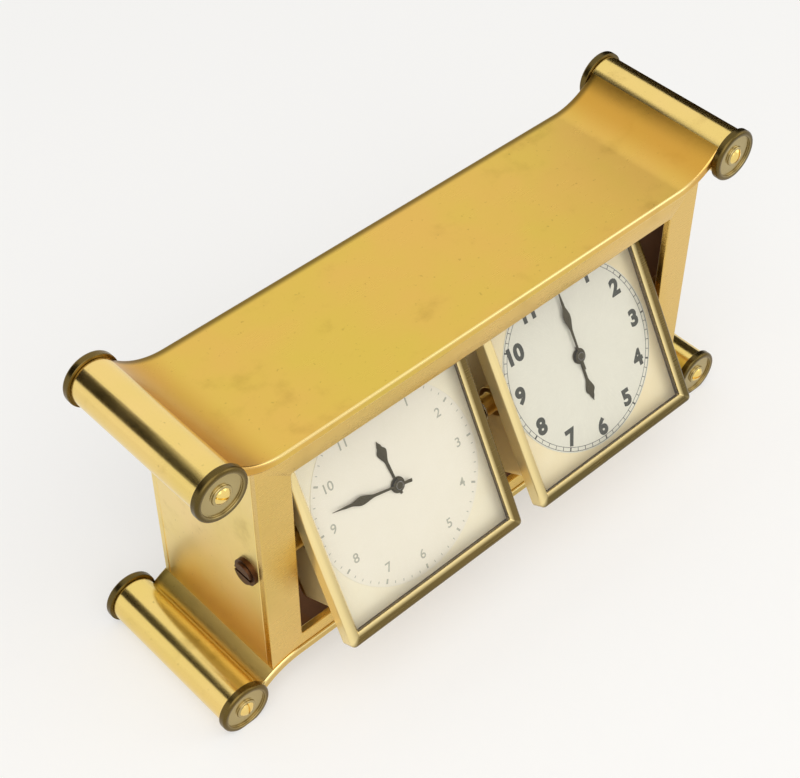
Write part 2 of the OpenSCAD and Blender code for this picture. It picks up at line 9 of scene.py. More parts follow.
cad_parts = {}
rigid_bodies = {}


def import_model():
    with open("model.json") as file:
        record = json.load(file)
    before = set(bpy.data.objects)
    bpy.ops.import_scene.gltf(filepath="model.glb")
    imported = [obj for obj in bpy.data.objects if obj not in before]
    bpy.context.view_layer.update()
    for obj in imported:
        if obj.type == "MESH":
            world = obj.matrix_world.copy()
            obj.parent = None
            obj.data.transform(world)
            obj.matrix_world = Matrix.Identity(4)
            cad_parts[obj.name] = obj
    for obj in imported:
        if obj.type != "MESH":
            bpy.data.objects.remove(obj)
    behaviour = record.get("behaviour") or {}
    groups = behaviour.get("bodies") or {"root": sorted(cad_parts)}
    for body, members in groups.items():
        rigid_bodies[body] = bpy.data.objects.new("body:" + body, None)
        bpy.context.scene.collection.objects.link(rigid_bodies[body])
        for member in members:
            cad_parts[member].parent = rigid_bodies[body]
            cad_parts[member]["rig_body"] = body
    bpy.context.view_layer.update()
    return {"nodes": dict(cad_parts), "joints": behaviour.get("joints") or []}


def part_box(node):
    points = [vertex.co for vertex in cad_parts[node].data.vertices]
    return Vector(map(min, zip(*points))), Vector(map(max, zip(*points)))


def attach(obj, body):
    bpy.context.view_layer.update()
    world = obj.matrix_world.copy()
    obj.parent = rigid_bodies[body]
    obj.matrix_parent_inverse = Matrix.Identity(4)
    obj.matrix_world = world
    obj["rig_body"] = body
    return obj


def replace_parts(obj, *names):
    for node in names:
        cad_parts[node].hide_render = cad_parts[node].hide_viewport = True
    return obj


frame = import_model()
NODES = frame["nodes"]
JOINTS = {joint["name"]: joint for joint in frame["joints"]}

MM = 0.001

# Sizes of the clock in millimetres, as its solids have them
ROLL_R = 6.0
CAP_R = 6.8
CAP_T = 2.0
CAP_SCREW_R = 2.0
CAP_SCREW_H = 0.9
PLATE_T = 2.5
PLATE_DEPTH = 42.0
SWEEP_R = 18.0
ROLL_LIFT = 2.3
BEZEL_HALF = 27.5
WINDOW_HALF = 24.6
SEAT_HALF = 25.6
BEZEL_FRONT = -10.2
BEZEL_BACK = -6.0
CRYSTAL_FRONT = -9.2
DIAL_FRONT = -6.6
HOUR_FRONT = -7.1
MINUTE_FRONT = -7.6
HAND_T = 0.25
ARBOR_R = 0.7

# The hour and minute hands' places at rest, in degrees clockwise from the top
HAND_TURNS = {"left": (353.5, 282.0), "right": (180.0, 0.0)}

# Sizes in millimetres of what the solids don't have: rims, slots, corners, the bezels' painted shade
# and print
PLATE_RIM = 0.45
ROLL_RIM = 0.3
CAP_RIM_W = 1.4
CAP_LEDGE = 0.6
CAP_SUNK = 0.6
SLOT_W = 0.5
SLOT_D = 0.35
SLOT_WALL = 0.01
DOME_SUNK = 0.2
WINDOW_CORNER = 0.1
BEZEL_CORNER = 1.2
BEZEL_SLOPE = 0.7
BEZEL_LAND = 0.2
BEZEL_DARK = 2.75
BEZEL_FADE = 0.6
CHAPTER_BORE = 1.3
CHAPTER_R = 24.2
CHAPTER_FRONT = DIAL_FRONT - 0.12
PRINT_FRONT = DIAL_FRONT - 0.15
TRACK_W = 0.12
HAND_RIDGE = 0.1
NUT_H = 0.3

# How the surfaces are cut up: steps along a sweep or round a turned piece, the distance in
# millimetres from an arc to the guard point beside it, the least share that a mitre is divided by,
# the distances in metres that points are joined over, and the sharp angles in degrees
SWEEP_STEPS = 24
TURN_STEPS = 96
ROLL_STEPS = 128
CHAPTER_STEPS = 160
TRACK_STEPS = 144
HUB_STEPS = 64
NUT_STEPS = 48
GUARD = 0.06
CORNER_GUARD = 0.15
MITRE_SHARE = 0.7
SHELL_WELD = 1e-7
COPY_WELD = 2e-6
SHELL_SHARP = 40
COPY_SHARP = 35


# Where things are

def node_box(node):
    """Lowest and highest corners of a node in millimetres."""
    low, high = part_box(node)
    return np.array(low) / MM, np.array(high) / MM


roll_low, roll_high = node_box("top_right_roll")
ROLL_X = (roll_low[0] + roll_high[0]) / 2
ROLL_TOP_Z = (roll_low[2] + roll_high[2]) / 2
CASE_Y = (roll_low[1] + roll_high[1]) / 2
ROLL_BOTTOM_Z = node_box("bottom_right_roll")[1][2] - ROLL_R
CASE_Z = (ROLL_TOP_Z + ROLL_BOTTOM_Z) / 2
PLATE_OUT = ROLL_TOP_Z - CASE_Z - ROLL_LIFT
PANEL_OUT = node_box("right_end_panel")[1][0]
FRONT_Y = CASE_Y - PLATE_DEPTH / 2
BACK_Y = CASE_Y + PLATE_DEPTH / 2

# The case's inside on each axis: its middle, and how far it reaches either way
INSIDE = ((0.0, PANEL_OUT - 1.3), (CASE_Y, 18.7), (CASE_Z, 33.5))


def unit_matrix(side):
    """From a unit's own frame, with its origin on the pivot and y to the back, to the shared one."""
    axis = JOINTS[f"{side}_minute_turn"]["axis"]
    tilt = math.atan2(-axis[2], axis[1])
    place = Matrix.Translation(JOINTS[f"{side}_tilt"]["pos_m"])
    return place @ Matrix.Rotation(-tilt, 4, "X")


def placed(points, matrix):
    """Points in millimetres, turned and moved by a matrix whose move is in metres."""
    turn = np.array(matrix.to_3x3())
    return points * MM @ turn.T + np.array(matrix.translation)


# Surfaces from formulas

def grid_faces(rows, cols, close_rows, close_cols):
    """Quads of a grid of rows x cols points, joined end to end where asked."""
    i, j = np.meshgrid(np.arange(rows if close_rows else rows - 1),
                       np.arange(cols if close_cols else cols - 1), indexing="ij")
    down = (i + 1) % rows
    across = (j + 1) % cols
    corners = [i * cols + j, i * cols + across, down * cols + across, down * cols + j]
    return np.stack(corners, -1).reshape(-1, 4).tolist()


def loft(rings, closed=False):
    """A skin over rings of as many points each. They are joined into a loop, or closed at each end
    by strips between the ring's first half and its second half, which runs back."""
    rows, cols = rings.shape[:2]
    faces = grid_faces(rows, cols, closed, True)
    if not closed:
        for first in (0, (rows - 1) * cols):
            k = np.arange(cols // 2 - 1)
            strip = np.stack([k, k + 1, cols - 2 - k, cols - 1 - k], -1) + first
            faces += strip.tolist()
    return rings.reshape(-1, 3), faces


def turned(profile, steps=TURN_STEPS, looped=False):
    """A profile of (radius, depth) carried round the y axis: x = r cos a, z = r sin a."""
    angle = np.linspace(0, 2 * math.pi, steps, endpoint=False)[:, None]
    r, depth = np.array(profile, float).T
    points = np.stack([r * np.cos(angle), depth + 0 * angle, r * np.sin(angle)], -1)
    return points.reshape(-1, 3), grid_faces(steps, len(r), True, looped)


def arc(centre, radius, start, end, steps):
    """Points on a circle from one angle to another, in degrees."""
    a = np.radians(np.linspace(start, end, steps))
    return np.stack([centre[0] + radius * np.cos(a), centre[1] + radius * np.sin(a)], -1)


def rounded(corners, radii, steps=5, closed=False):
    """An outline whose corners are arcs, each tangent to its two sides, with a guard point on both
    sides so that the flats between them stay flat."""
    points = np.array(corners, float)
    out = []
    for i, radius in enumerate(radii):
        ends = not closed and i in (0, len(points) - 1)
        if ends or radius == 0:
            out.append(points[i])
            continue
        to_last = points[i - 1] - points[i]
        to_next = points[(i + 1) % len(points)] - points[i]
        room = 0.48 * min(np.linalg.norm(to_last), np.linalg.norm(to_next))
        to_last /= np.linalg.norm(to_last)
        to_next /= np.linalg.norm(to_next)
        half = 0.5 * math.acos(np.clip(to_last @ to_next, -1, 1))
        reach = min(radius / math.tan(half), room)
        radius = reach * math.tan(half)
        middle = to_last + to_next
        centre = points[i] + middle / np.linalg.norm(middle) * radius / math.sin(half)
        first = points[i] + to_last * reach - centre
        last = points[i] + to_next * reach - centre
        spread = math.acos(np.clip(first @ last / radius ** 2, -1, 1))
        t = np.linspace(0, 1, steps + 1)[:, None]
        bend = (np.sin((1 - t) * spread) * first + np.sin(t * spread) * last) / math.sin(spread)
        out.append(points[i] + to_last * (reach + GUARD))
        out.extend(centre + bend)
        out.append(points[i] + to_next * (reach + GUARD))
    return np.array(out)


def inset(outline, distance):
    """A closed outline whose sides are all moved inwards by the same distance, and sharp tips by
    less, so that they don't fold over."""
    along = np.roll(outline, -1, 0) - outline
    along /= np.linalg.norm(along, axis=1)[:, None]
    x, z = outline.T
    area = np.sum(x * np.roll(z, -1) - z * np.roll(x, -1))
    after = np.stack([-along[:, 1], along[:, 0]], -1) * np.sign(area)
    before = np.roll(after, 1, 0)
    share = np.maximum(1 + np.sum(before * after, 1), MITRE_SHARE)
    return outline + (before + after) / share[:, None] * distance


def prism(outline, near, far, edge, steps=5):
    """An outline in x and z carried from depth near to far, with its two rims rounded:
    depth = edge (1 - cos a), inset = edge (1 - sin a)."""
    a = np.linspace(0, math.pi / 2, steps)
    depths = np.concatenate([[0, 0], edge * (1 - np.cos(a))[1:], [edge + GUARD]])
    insets = np.concatenate([[edge + GUARD, edge], edge * (1 - np.sin(a))[1:], [0]])
    worn = np.concatenate([[0, 1], np.ones(steps - 1), [0]])
    depths = np.concatenate([near + depths, far - depths[::-1]])
    insets = np.concatenate([insets, insets[::-1]])
    rings = []
    for depth, distance in zip(depths, insets):
        flat = inset(outline, distance)
        rings.append(np.stack([flat[:, 0], np.full(len(flat), depth), flat[:, 1]], -1))
    rub = np.repeat(np.concatenate([worn, worn[::-1]]), len(outline))
    points, faces = loft(np.array(rings))
    return points, faces, rub


class Shell:
    """Gathers surfaces and makes them one mesh at the origin, with outward normals."""

    def __init__(self):
        self.points = []
        self.faces = []
        self.rub = []
        self.count = 0

    def add(self, points, faces, rub=None):
        """points are in metres in the shared frame; rub says how much wear each has, and on the
        bezels and caps how far each is out of painted shade, 0 to 1.
        """
        self.points.append(points)
        self.rub.append(np.zeros(len(points)) if rub is None else rub)
        self.faces += [[k + self.count for k in face] for face in faces]
        self.count += len(points)

    def make(self, name, body, slot, material, outwards=True):
        """Joins points that coincide, turns the faces outwards where asked, and makes the object."""
        mesh = bpy.data.meshes.new(name)
        mesh.from_pydata(np.concatenate(self.points).tolist(), [], self.faces)
        worn = mesh.attributes.new("rub", "FLOAT", "POINT")
        worn.data.foreach_set("value", np.concatenate(self.rub).astype(np.float32))
        work = bmesh.new()
        work.from_mesh(mesh)
        bmesh.ops.remove_doubles(work, verts=work.verts, dist=SHELL_WELD)
        if outwards:
            bmesh.ops.recalc_face_normals(work, faces=work.faces)
        work.to_mesh(mesh)
        work.free()
        return finished(mesh, name, body, material, SHELL_SHARP)


def shell_of(points, faces, rub=None):
    """A shell with one surface."""
    shell = Shell()
    shell.add(points, faces, rub)
    return shell


def finished(mesh, name, body, material, sharp):
    """Makes the object of a mesh, smooth except over edges sharper than the given angle."""
    mesh.shade_smooth()
    mesh.set_sharp_from_angle(angle=math.radians(sharp))
    mesh.materials.clear()
    mesh.materials.append(material)
    piece = bpy.data.objects.new(name, mesh)
    bpy.context.scene.collection.objects.link(piece)
    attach(piece, body)
    return piece


def softened(node, width, material, windowed=False):
    """A copy of a CAD node with its triangles joined into whole flats and its edges rounded. The
    flats of a windowed node are cut into triangles again, because a flat can't have a hole."""
    source = NODES[node]
    mesh = source.data.copy()
    mesh.name = node + "_dressed"
    work = bmesh.new()
    work.from_mesh(mesh)
    bmesh.ops.remove_doubles(work, verts=work.verts, dist=COPY_WELD)
    bmesh.ops.dissolve_limit(work, angle_limit=math.radians(1), verts=work.verts, edges=work.edges)
    if windowed:
        flats = [face for face in work.faces if len(face.verts) > 4]
        bmesh.ops.triangulate(work, faces=flats, quad_method="BEAUTY", ngon_method="BEAUTY")
    work.to_mesh(mesh)
    work.free()
    piece = finished(mesh, node + "_dressed", source["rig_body"], material, COPY_SHARP)
    bevel = piece.modifiers.new("edges", "BEVEL")
    bevel.width = width * MM
    bevel.segments = 2
    bevel.loop_slide = False
    bevel.limit_method = "ANGLE"
    bevel.angle_limit = math.radians(COPY_SHARP)
    bevel.harden_normals = True
    bevel.miter_outer = "MITER_ARC"
    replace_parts(piece, node)
    return piece


# Materials

class Socket:
    """A number in a material. Arithmetic on it adds Math nodes to the same material."""

    def __init__(self, finish, socket):
        self.finish = finish
        self.socket = socket

    def math(self, operation, first, second=0.0):
        """A Math node over two inputs, each a number or a socket."""
        made = self.finish.node("ShaderNodeMath", {"operation": operation}, {0: first, 1: second})
        return Socket(self.finish, made.outputs[0])

    def __add__(self, other):
        return self.math("ADD", self, other)

    def __sub__(self, other):
        return self.math("SUBTRACT", self, other)

    def __rsub__(self, other):
        return self.math("SUBTRACT", other, self)

    def __mul__(self, other):
        return self.math("MULTIPLY", self, other)

    def __truediv__(self, other):
        return self.math("DIVIDE", self, other)

    def __pow__(self, other):
        return self.math("POWER", self, other)

    __radd__ = __add__
    __rmul__ = __mul__

    def size(self):
        """The number without its sign."""
        return self.math("ABSOLUTE", self)

    def rise(self, low, high):
        """0 below low, 1 above high, and a smooth step between them."""
        made = self.finish.node("ShaderNodeMapRange", {"interpolation_type": "SMOOTHSTEP"},
                                {0: self, 1: low, 2: high})
        return Socket(self.finish, made.outputs[0])


class Finish:
    """One material."""

    def __init__(self, name, tree=None):
        self.material = None
        if tree is None:
            self.material = bpy.data.materials.new(name)
            self.material.use_nodes = True
            tree = self.material.node_tree
        self.tree = tree
        self.tree.nodes.clear()
        if self.material:
            self.place = self.node("ShaderNodeTexCoord").outputs["Object"]

    def node(self, kind, settings=(), sockets=()):
        """Makes a node: its settings first, then the values or links of its sockets."""
        made = self.tree.nodes.new(kind)
        for key, value in dict(settings).items():
            setattr(made, key, value)
        for key, value in dict(sockets).items():
            if isinstance(value, Socket):
                value = value.socket
            if isinstance(value, bpy.types.NodeSocket):
                self.tree.links.new(value, made.inputs[key])
            else:
                made.inputs[key].default_value = value
        return made

    def parts(self, vector=None):
        """The x, y and z of a vector, by default of the place on the object."""
        made = self.node("ShaderNodeSeparateXYZ", {}, {0: self.place if vector is None else vector})
        return [Socket(self, made.outputs[k]) for k in range(3)]

    def moved(self, kind, location=(0, 0, 0), rotation=(0, 0, 0), scale=(1, 1, 1)):
        """The place on the object, moved, turned and scaled as a point, or the other way round as a
        texture."""
        made = self.node("ShaderNodeMapping", {"vector_type": kind},
                         {0: self.place, "Location": location, "Rotation": rotation, "Scale": scale})
        return made.outputs[0]

    def noise(self, scale, detail=3.0, rough=0.5, vector=None):
        """Cloudy noise around 0.5, by default over the place on the object."""
        made = self.node("ShaderNodeTexNoise", {},
                         {"Vector": self.place if vector is None else vector, "Scale": scale,
                          "Detail": detail, "Roughness": rough})
        return Socket(self, made.outputs["Fac"])

    def worn(self):
        """How much wear the surface has, which new pieces carry on their rims, and on the bezels and
        caps how far it is out of painted shade.
        """
        made = self.node("ShaderNodeAttribute", {"attribute_name": "rub"})
        return Socket(self, made.outputs["Fac"])

    def mix(self, amount, first, second):
        """A colour between two colours."""
        made = self.node("ShaderNodeMix", {"data_type": "RGBA"}, {0: amount, 6: first, 7: second})
        return made.outputs[2]

    def bump(self, height, strength, distance):
        """Relief from a height, whose full range is a distance in millimetres."""
        made = self.node("ShaderNodeBump", {}, {"Height": height, "Strength": strength,
                                                "Distance": distance * MM})
        return made.outputs[0]

    def surface(self, sockets):
        """The closing Principled surface."""
        shader = self.node("ShaderNodeBsdfPrincipled", {}, sockets)
        self.node("ShaderNodeOutputMaterial", {}, {0: shader.outputs[0]})
        return self.material


def rgb(red, green, blue):
    """A screen colour, 0 to 255, as the linear colour that a socket takes."""
    share = np.array([red, green, blue]) / 255
    linear = np.where(share <= 0.04045, share / 12.92, ((share + 0.055) / 1.055) ** 2.4)
    return (*linear, 1.0)


WEAR_AND_LIGHT_GOLD = rgb(250, 228, 164)
SWEEP_SHADE_GOLD = rgb(198, 142, 48)
TARNISH = rgb(150, 112, 40)
FLECK = rgb(105, 75, 30)
BACK_EDGE_SHADE = rgb(104, 82, 36)
INSIDE_SHADE = (rgb(96, 58, 22), rgb(124, 80, 34))


def lined(f, colour, rough):
    """Painted shade on every face that is inside the case, a dark brown that is rougher and less
    metallic: colour, roughness and metal.
    """
    inner = 1.0
    for along, (middle, reach) in zip(f.parts(), INSIDE):
        outside = (along - middle * MM).size().rise((reach - 0.1) * MM, (reach + 0.1) * MM)
        inner = inner * (1 - outside)
    inside_shade_colour = f.mix(f.noise(180.0, 4.0), *INSIDE_SHADE)
    return f.mix(inner, colour, inside_shade_colour), rough + inner * (0.5 - rough), 1 - inner * 0.6


def gilt(name, warm, green, rough, grain_axis=0, inside=False, tarnish_and_shade=0.25, gain_of_wear_and_light=0.6,
         back_edge_shade=0.0, sweep_shade=0.0, metal=1.0):
    """Satin gilt brass: the colour drifts between a warm and a greenish gold, dark specks sit in
    the low spots, a fine grain runs one way and the rims are polished pale by wear. On the bezels
    and caps the same rub share also says how far each point is out of painted shade, the
    dark base colour being painted shade. tarnish_and_shade is how much of the darker patina is mixed
    in, and on the foot plate it is raised as painted shade. back_edge_shade is how much painted shade
    darkens the last two millimetres before the case's back, and sweep_shade how much painted shade
    and reflection darken the sweeps next to the rolls. inside paints shade, a dark brown, on every
    face inside the case."""
    f = Finish(name)
    x, y = f.parts()[:2]
    drift = f.noise(22.0, 3.0, 0.6).rise(0.35, 0.65)
    cloud = f.noise(95.0, 5.0, 0.6)
    colour = f.mix(drift, warm, green)
    colour = f.mix(cloud.rise(0.55, 0.8) * tarnish_and_shade, colour, TARNISH)
    colour = f.mix(f.noise(900.0, 2.0, 0.5).rise(0.68, 0.78) * tarnish_and_shade, colour, FLECK)
    colour = f.mix(f.worn() * gain_of_wear_and_light, colour, WEAR_AND_LIGHT_GOLD)
    # Painted shade and reflection: the sweeps next to the rolls turn a deep gold.
    if sweep_shade:
        sweep = x.size().rise((ROLL_X - SWEEP_R) * MM, (ROLL_X - SWEEP_R / 2) * MM)
        colour = f.mix(sweep * sweep_shade, colour, SWEEP_SHADE_GOLD)
    # Painted shade: a dark band along the case's back edge.
    if back_edge_shade:
        colour = f.mix(y.rise((BACK_Y - 2.4) * MM, (BACK_Y - 0.8) * MM) * back_edge_shade, colour, BACK_EDGE_SHADE)
    scale = [2600.0, 2600.0, 2600.0]
    scale[grain_axis] = 60.0
    grain = f.noise(1.0, 3.0, 0.6, f.moved("POINT", scale=tuple(scale)))
    roughness = rough + (cloud - 0.5) * 0.12 + (grain - 0.5) * 0.1 - f.worn() * 0.08
    # Painted shade inside the case.
    if inside:
        colour, roughness, metal = lined(f, colour, roughness)
    return f.surface({"Base Color": colour, "Roughness": roughness, "Metallic": metal,
                      "Normal": f.bump(grain + cloud * 0.5, 0.12, 0.04)})


def bronze(name, base, edge, rough=0.42):
    """Dark bronzed metal with a brown bloom."""
    f = Finish(name)
    cloud = f.noise(300.0, 4.0, 0.6)
    return f.surface({"Base Color": f.mix(cloud, base, edge), "Metallic": 0.85,
                      "Roughness": rough + (cloud - 0.5) * 0.25,
                      "Normal": f.bump(f.noise(2500.0, 3.0), 0.15, 0.03)})


def ground_steel(name):
    """Steel with fine straight grinding marks."""
    f = Finish(name)
    marks = f.noise(1.0, 3.0, 0.6, f.moved("POINT", scale=(300.0, 6000.0, 6000.0)))
    colour = f.mix(marks, rgb(176, 176, 180), rgb(208, 207, 205))
    return f.surface({"Base Color": colour, "Metallic": 1.0, "Roughness": 0.26 + (marks - 0.5) * 0.2,
                      "Normal": f.bump(marks, 0.1, 0.03)})


def silvered(name, side, light, dark):
    """Silvered chapter: grain in rays from the dial's centre, and a soft bloom."""
    f = Finish(name)
    matrix = unit_matrix(side)
    x, _, z = f.parts(f.moved("TEXTURE", tuple(matrix.translation), tuple(matrix.to_euler())))
    r = (x * x + z * z + 1e-12) ** 0.5
    ray = f.node("ShaderNodeCombineXYZ", {}, {0: x / r, 1: z / r, 2: r * 8.0}).outputs[0]
    grain = f.noise(70.0, 2.0, 0.6, ray)
    bloom = f.noise(110.0, 4.0, 0.6)
    colour = f.mix(grain * 0.6 + bloom * 0.4, light, dark)
    return f.surface({"Base Color": colour, "Metallic": 0.25, "Roughness": 0.42 + (bloom - 0.5) * 0.2,
                      "Normal": f.bump(grain, 0.15, 0.03)})


def cream_gilt(name, light, dark):
    """The dial plate's corners: pale frosted gilt with a fine stipple."""
    f = Finish(name)
    bloom = f.noise(120.0, 4.0, 0.6)
    stipple = f.noise(3500.0, 2.0)
    return f.surface({"Base Color": f.mix(bloom, light, dark), "Metallic": 0.3,
                      "Roughness": 0.45 + (bloom - 0.5) * 0.2, "Normal": f.bump(stipple, 0.2, 0.04)})


def ink(name, colour, worn_colour):
    """Printed marks, slightly uneven."""
    f = Finish(name)
    cloud = f.noise(700.0, 3.0)
    return f.surface({"Base Color": f.mix(cloud, colour, worn_colour),
                      "Roughness": 0.5 + (cloud - 0.5) * 0.2})


def clear_glass(name):
    """Flat glass: what is behind it shows straight through, under a Fresnel gloss on its front."""
    f = Finish(name)
    smear = f.noise(60.0, 3.0)
    through = f.node("ShaderNodeBsdfTransparent", {}, {0: (0.985, 0.985, 0.98, 1.0)})
    gloss = f.node("ShaderNodeBsdfGlossy", {}, {"Color": (1.0, 1.0, 1.0, 1.0), "Roughness": 0.03})
    fresnel = Socket(f, f.node("ShaderNodeFresnel", {}, {"IOR": 1.5}).outputs[0])
    fresnel = fresnel * (1 - Socket(f, f.node("ShaderNodeNewGeometry").outputs["Backfacing"]))
    mixed = f.node("ShaderNodeMixShader", {}, {0: fresnel * (0.85 + smear * 0.3),
                                              1: through.outputs[0], 2: gloss.outputs[0]})
    f.node("ShaderNodeOutputMaterial", {}, {0: mixed.outputs[0]})
    return f.material


WARM_GOLD = rgb(226, 184, 92)
GREEN_GOLD = rgb(220, 190, 84)
PALE_GOLD = rgb(248, 222, 156)
LIME_GOLD = rgb(240, 218, 140)
plate_gilts = {
    "top_plate": gilt("plate_gilt", WARM_GOLD, GREEN_GOLD, 0.3, inside=True, back_edge_shade=0.85,
                      sweep_shade=0.65),
    # The foot plate's darker golds and heavier patina are painted shade.
    "bottom_plate": gilt("foot_plate_gilt", rgb(214, 182, 104), rgb(198, 172, 90), 0.34,
                         inside=True, tarnish_and_shade=0.45, back_edge_shade=0.6)}
case_gilt = gilt("case_gilt", PALE_GOLD, LIME_GOLD, 0.4, 2, inside=True)
panel_gilt = gilt("panel_gilt", PALE_GOLD, LIME_GOLD, 0.4, 2, inside=True, back_edge_shade=0.8)
roll_gilt = gilt("roll_gilt", rgb(242, 210, 132), rgb(236, 208, 122), 0.2, 1)
frame_gilt = gilt("frame_gilt", rgb(226, 190, 110), rgb(216, 184, 102), 0.28, inside=True,
                  tarnish_and_shade=0.15)
# The bezels' dark olive base is painted shade, kept on the outer edge at the bottom and right;
# everywhere else it turns to pale gold.
bezel_gilt = gilt("bezel_gilt", rgb(112, 92, 44), rgb(94, 80, 36), 0.26, tarnish_and_shade=0.12, gain_of_wear_and_light=1.0,
                  metal=0.6)
# The caps' dark brown base is painted shade, deepest on the rim and lifted part way to pale gold
# towards the middle.
cap_gilt = gilt("cap_gilt", rgb(112, 92, 48), rgb(92, 78, 42), 0.28, 1, tarnish_and_shade=0.4, gain_of_wear_and_light=0.38)
movement_gilt = gilt("movement_gilt", rgb(214, 180, 104), rgb(204, 176, 96), 0.3, 2, tarnish_and_shade=0.15)
dark_bronze = bronze("dark_bronze", rgb(64, 38, 22), rgb(96, 62, 34))
hand_bronze = bronze("hand_bronze", rgb(58, 52, 36), rgb(84, 76, 52), 0.32)
housing_gilt = gilt("housing_gilt", rgb(244, 218, 156), rgb(236, 208, 138), 0.4, 2, metal=0.35)
steel = ground_steel("steel")
glass = clear_glass("crystal")
inks = {"left": ink("left_ink", rgb(168, 166, 150), rgb(190, 188, 172)),
        "right": ink("right_ink", rgb(40, 42, 34), rgb(74, 74, 62))}
chapters = {
    "left": silvered("left_chapter", "left", rgb(248, 242, 227), rgb(238, 231, 211)),
    "right": silvered("right_chapter", "right", rgb(240, 237, 222), rgb(220, 217, 202))}
dial_plates = {
    "left": cream_gilt("left_dial_plate", rgb(250, 244, 222), rgb(244, 233, 202)),
    "right": cream_gilt("right_dial_plate", rgb(248, 236, 202), rgb(240, 222, 176))}


# Case

def plate_outline():
    """Half a plate's section and its mirror: flat, swept up on a circle that touches the roll, and
    cut off at the roll's flank."""
    inner = PLATE_OUT - PLATE_T
    centre_z = PLATE_OUT + SWEEP_R
    drop = SWEEP_R - ROLL_LIFT
    span = SWEEP_R + ROLL_R
    centre_x = ROLL_X - math.sqrt(span ** 2 - drop ** 2)
    touch = math.degrees(math.atan2(-drop, ROLL_X - centre_x))
    outer = SWEEP_R + PLATE_T
    back = math.degrees(math.acos((outer ** 2 + span ** 2 - ROLL_R ** 2) / (2 * outer * span)))
    upper = arc((centre_x, centre_z), SWEEP_R, -90, touch, SWEEP_STEPS)
    lower = arc((centre_x, centre_z), outer, -90, touch - back, SWEEP_STEPS)
    upper = np.concatenate([[[centre_x - GUARD, PLATE_OUT]], upper])
    lower = np.concatenate([[[centre_x - GUARD, inner]], lower])
    return np.concatenate([upper[::-1] * [-1, 1], upper, lower[::-1], lower * [-1, 1]])


for node, sign in (("top_plate", 1), ("bottom_plate", -1)):
    outline = plate_outline() * [1, sign] + [0, CASE_Z]
    points, faces, rub = prism(outline, FRONT_Y, BACK_Y, PLATE_RIM)
    shell = shell_of(points * MM, faces, rub)
    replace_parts(shell.make(node + "_dressed", "case", "case_brass", plate_gilts[node]), node)

for node, width, slot, material in (
        ("left_end_panel", 0.2, "case_brass", panel_gilt),
        ("right_end_panel", 0.2, "case_brass", panel_gilt),
        ("front_frame", 0.35, "frame_brass", frame_gilt),
        ("rear_frame", 0.35, "case_brass", case_gilt),
        ("centre_bracket", 0.3, "dark_bronze", dark_bronze),
        ("corner_blocks", 0.25, "case_brass", case_gilt),
        ("left_pivot_screw", 0.2, "dark_bronze", dark_bronze),
        ("right_pivot_screw", 0.2, "dark_bronze", dark_bronze)):
    softened(node, width, material, windowed=node.endswith("_frame"))


# Rolls, caps and their screws

def stands(points):
    """What would reach under the table is ground flat to it."""
    points[:, 2] = np.maximum(points[:, 2], 0)
    return points


ROLL_PLACES = {"top_left_roll": (-1, ROLL_TOP_Z), "top_right_roll": (1, ROLL_TOP_Z),
               "bottom_left_roll": (-1, ROLL_BOTTOM_Z), "bottom_right_roll": (1, ROLL_BOTTOM_Z)}
ROLL_END = PLATE_DEPTH / 2
ROLL_PROFILE = rounded([(0, -ROLL_END), (ROLL_R, -ROLL_END), (ROLL_R, ROLL_END), (0, ROLL_END)],
                       [0, ROLL_RIM, ROLL_RIM, 0])
for node, (sign, height) in ROLL_PLACES.items():
    points, faces = turned(ROLL_PROFILE, ROLL_STEPS)
    shell = shell_of(stands(points + [sign * ROLL_X, CASE_Y, height]) * MM, faces)
    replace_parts(shell.make(node + "_dressed", "case", "case_brass", roll_gilt), node)


def cap_profile():
    """A turned cap's section, with a rounded rim, a sunk ring and a raised middle, and for each of
    its points how far it is out of the painted shade that darkens the rim."""
    ring = CAP_R - CAP_RIM_W
    middle = CAP_SCREW_R + CAP_LEDGE
    sunk = CAP_T - CAP_SUNK
    corners = [(0, 0), (CAP_R, 0), (CAP_R, CAP_T), (ring, CAP_T), (ring, sunk), (middle, sunk),
               (middle, CAP_T), (0, CAP_T)]
    section = rounded(corners, [0, 0.2, 0.75, 0.3, 0.15, 0.15, 0.25, 0])
    return section, np.clip((ring + 0.5 - section[:, 0]) / 0.8, 0, 1)


def slotted_dome(radius, height):
    """Rows across a disc, z = v sqrt(r^2 - x^2), raised to a ball's surface, with the rows between
    the slot's edges sunk, and a flat underside."""
    half = SLOT_W / 2
    side = np.cos(np.linspace(math.pi, 0, 13)) * radius
    edges = [-half - SLOT_WALL, -half, half, half + SLOT_WALL]
    x = np.sort(np.concatenate([side[np.abs(side) > half + 2 * SLOT_WALL], edges]))[:, None]
    v = np.linspace(-1, 1, 17)[None, :]
    z = v * np.sqrt(np.maximum(radius ** 2 - x ** 2, 0))
    ball = (radius ** 2 + height ** 2) / (2 * height)
    up = np.sqrt(ball ** 2 - x ** 2 - z ** 2) - ball + height
    up = up - SLOT_D * (np.abs(x) < half + SLOT_WALL / 2)
    top = np.stack([x + 0 * v, up, z], -1)
    under = np.stack([x + 0 * v, np.full_like(z, -DOME_SUNK), z], -1)[:, ::-1]
    return loft(np.concatenate([top, under], 1))


def clockwise(points, degrees):
    """Points turned round the y axis, clockwise as seen from the front."""
    c, s = math.cos(math.radians(degrees)), math.sin(math.radians(degrees))
    return points @ np.array([[c, 0, -s], [0, 1, 0], [s, 0, c]])


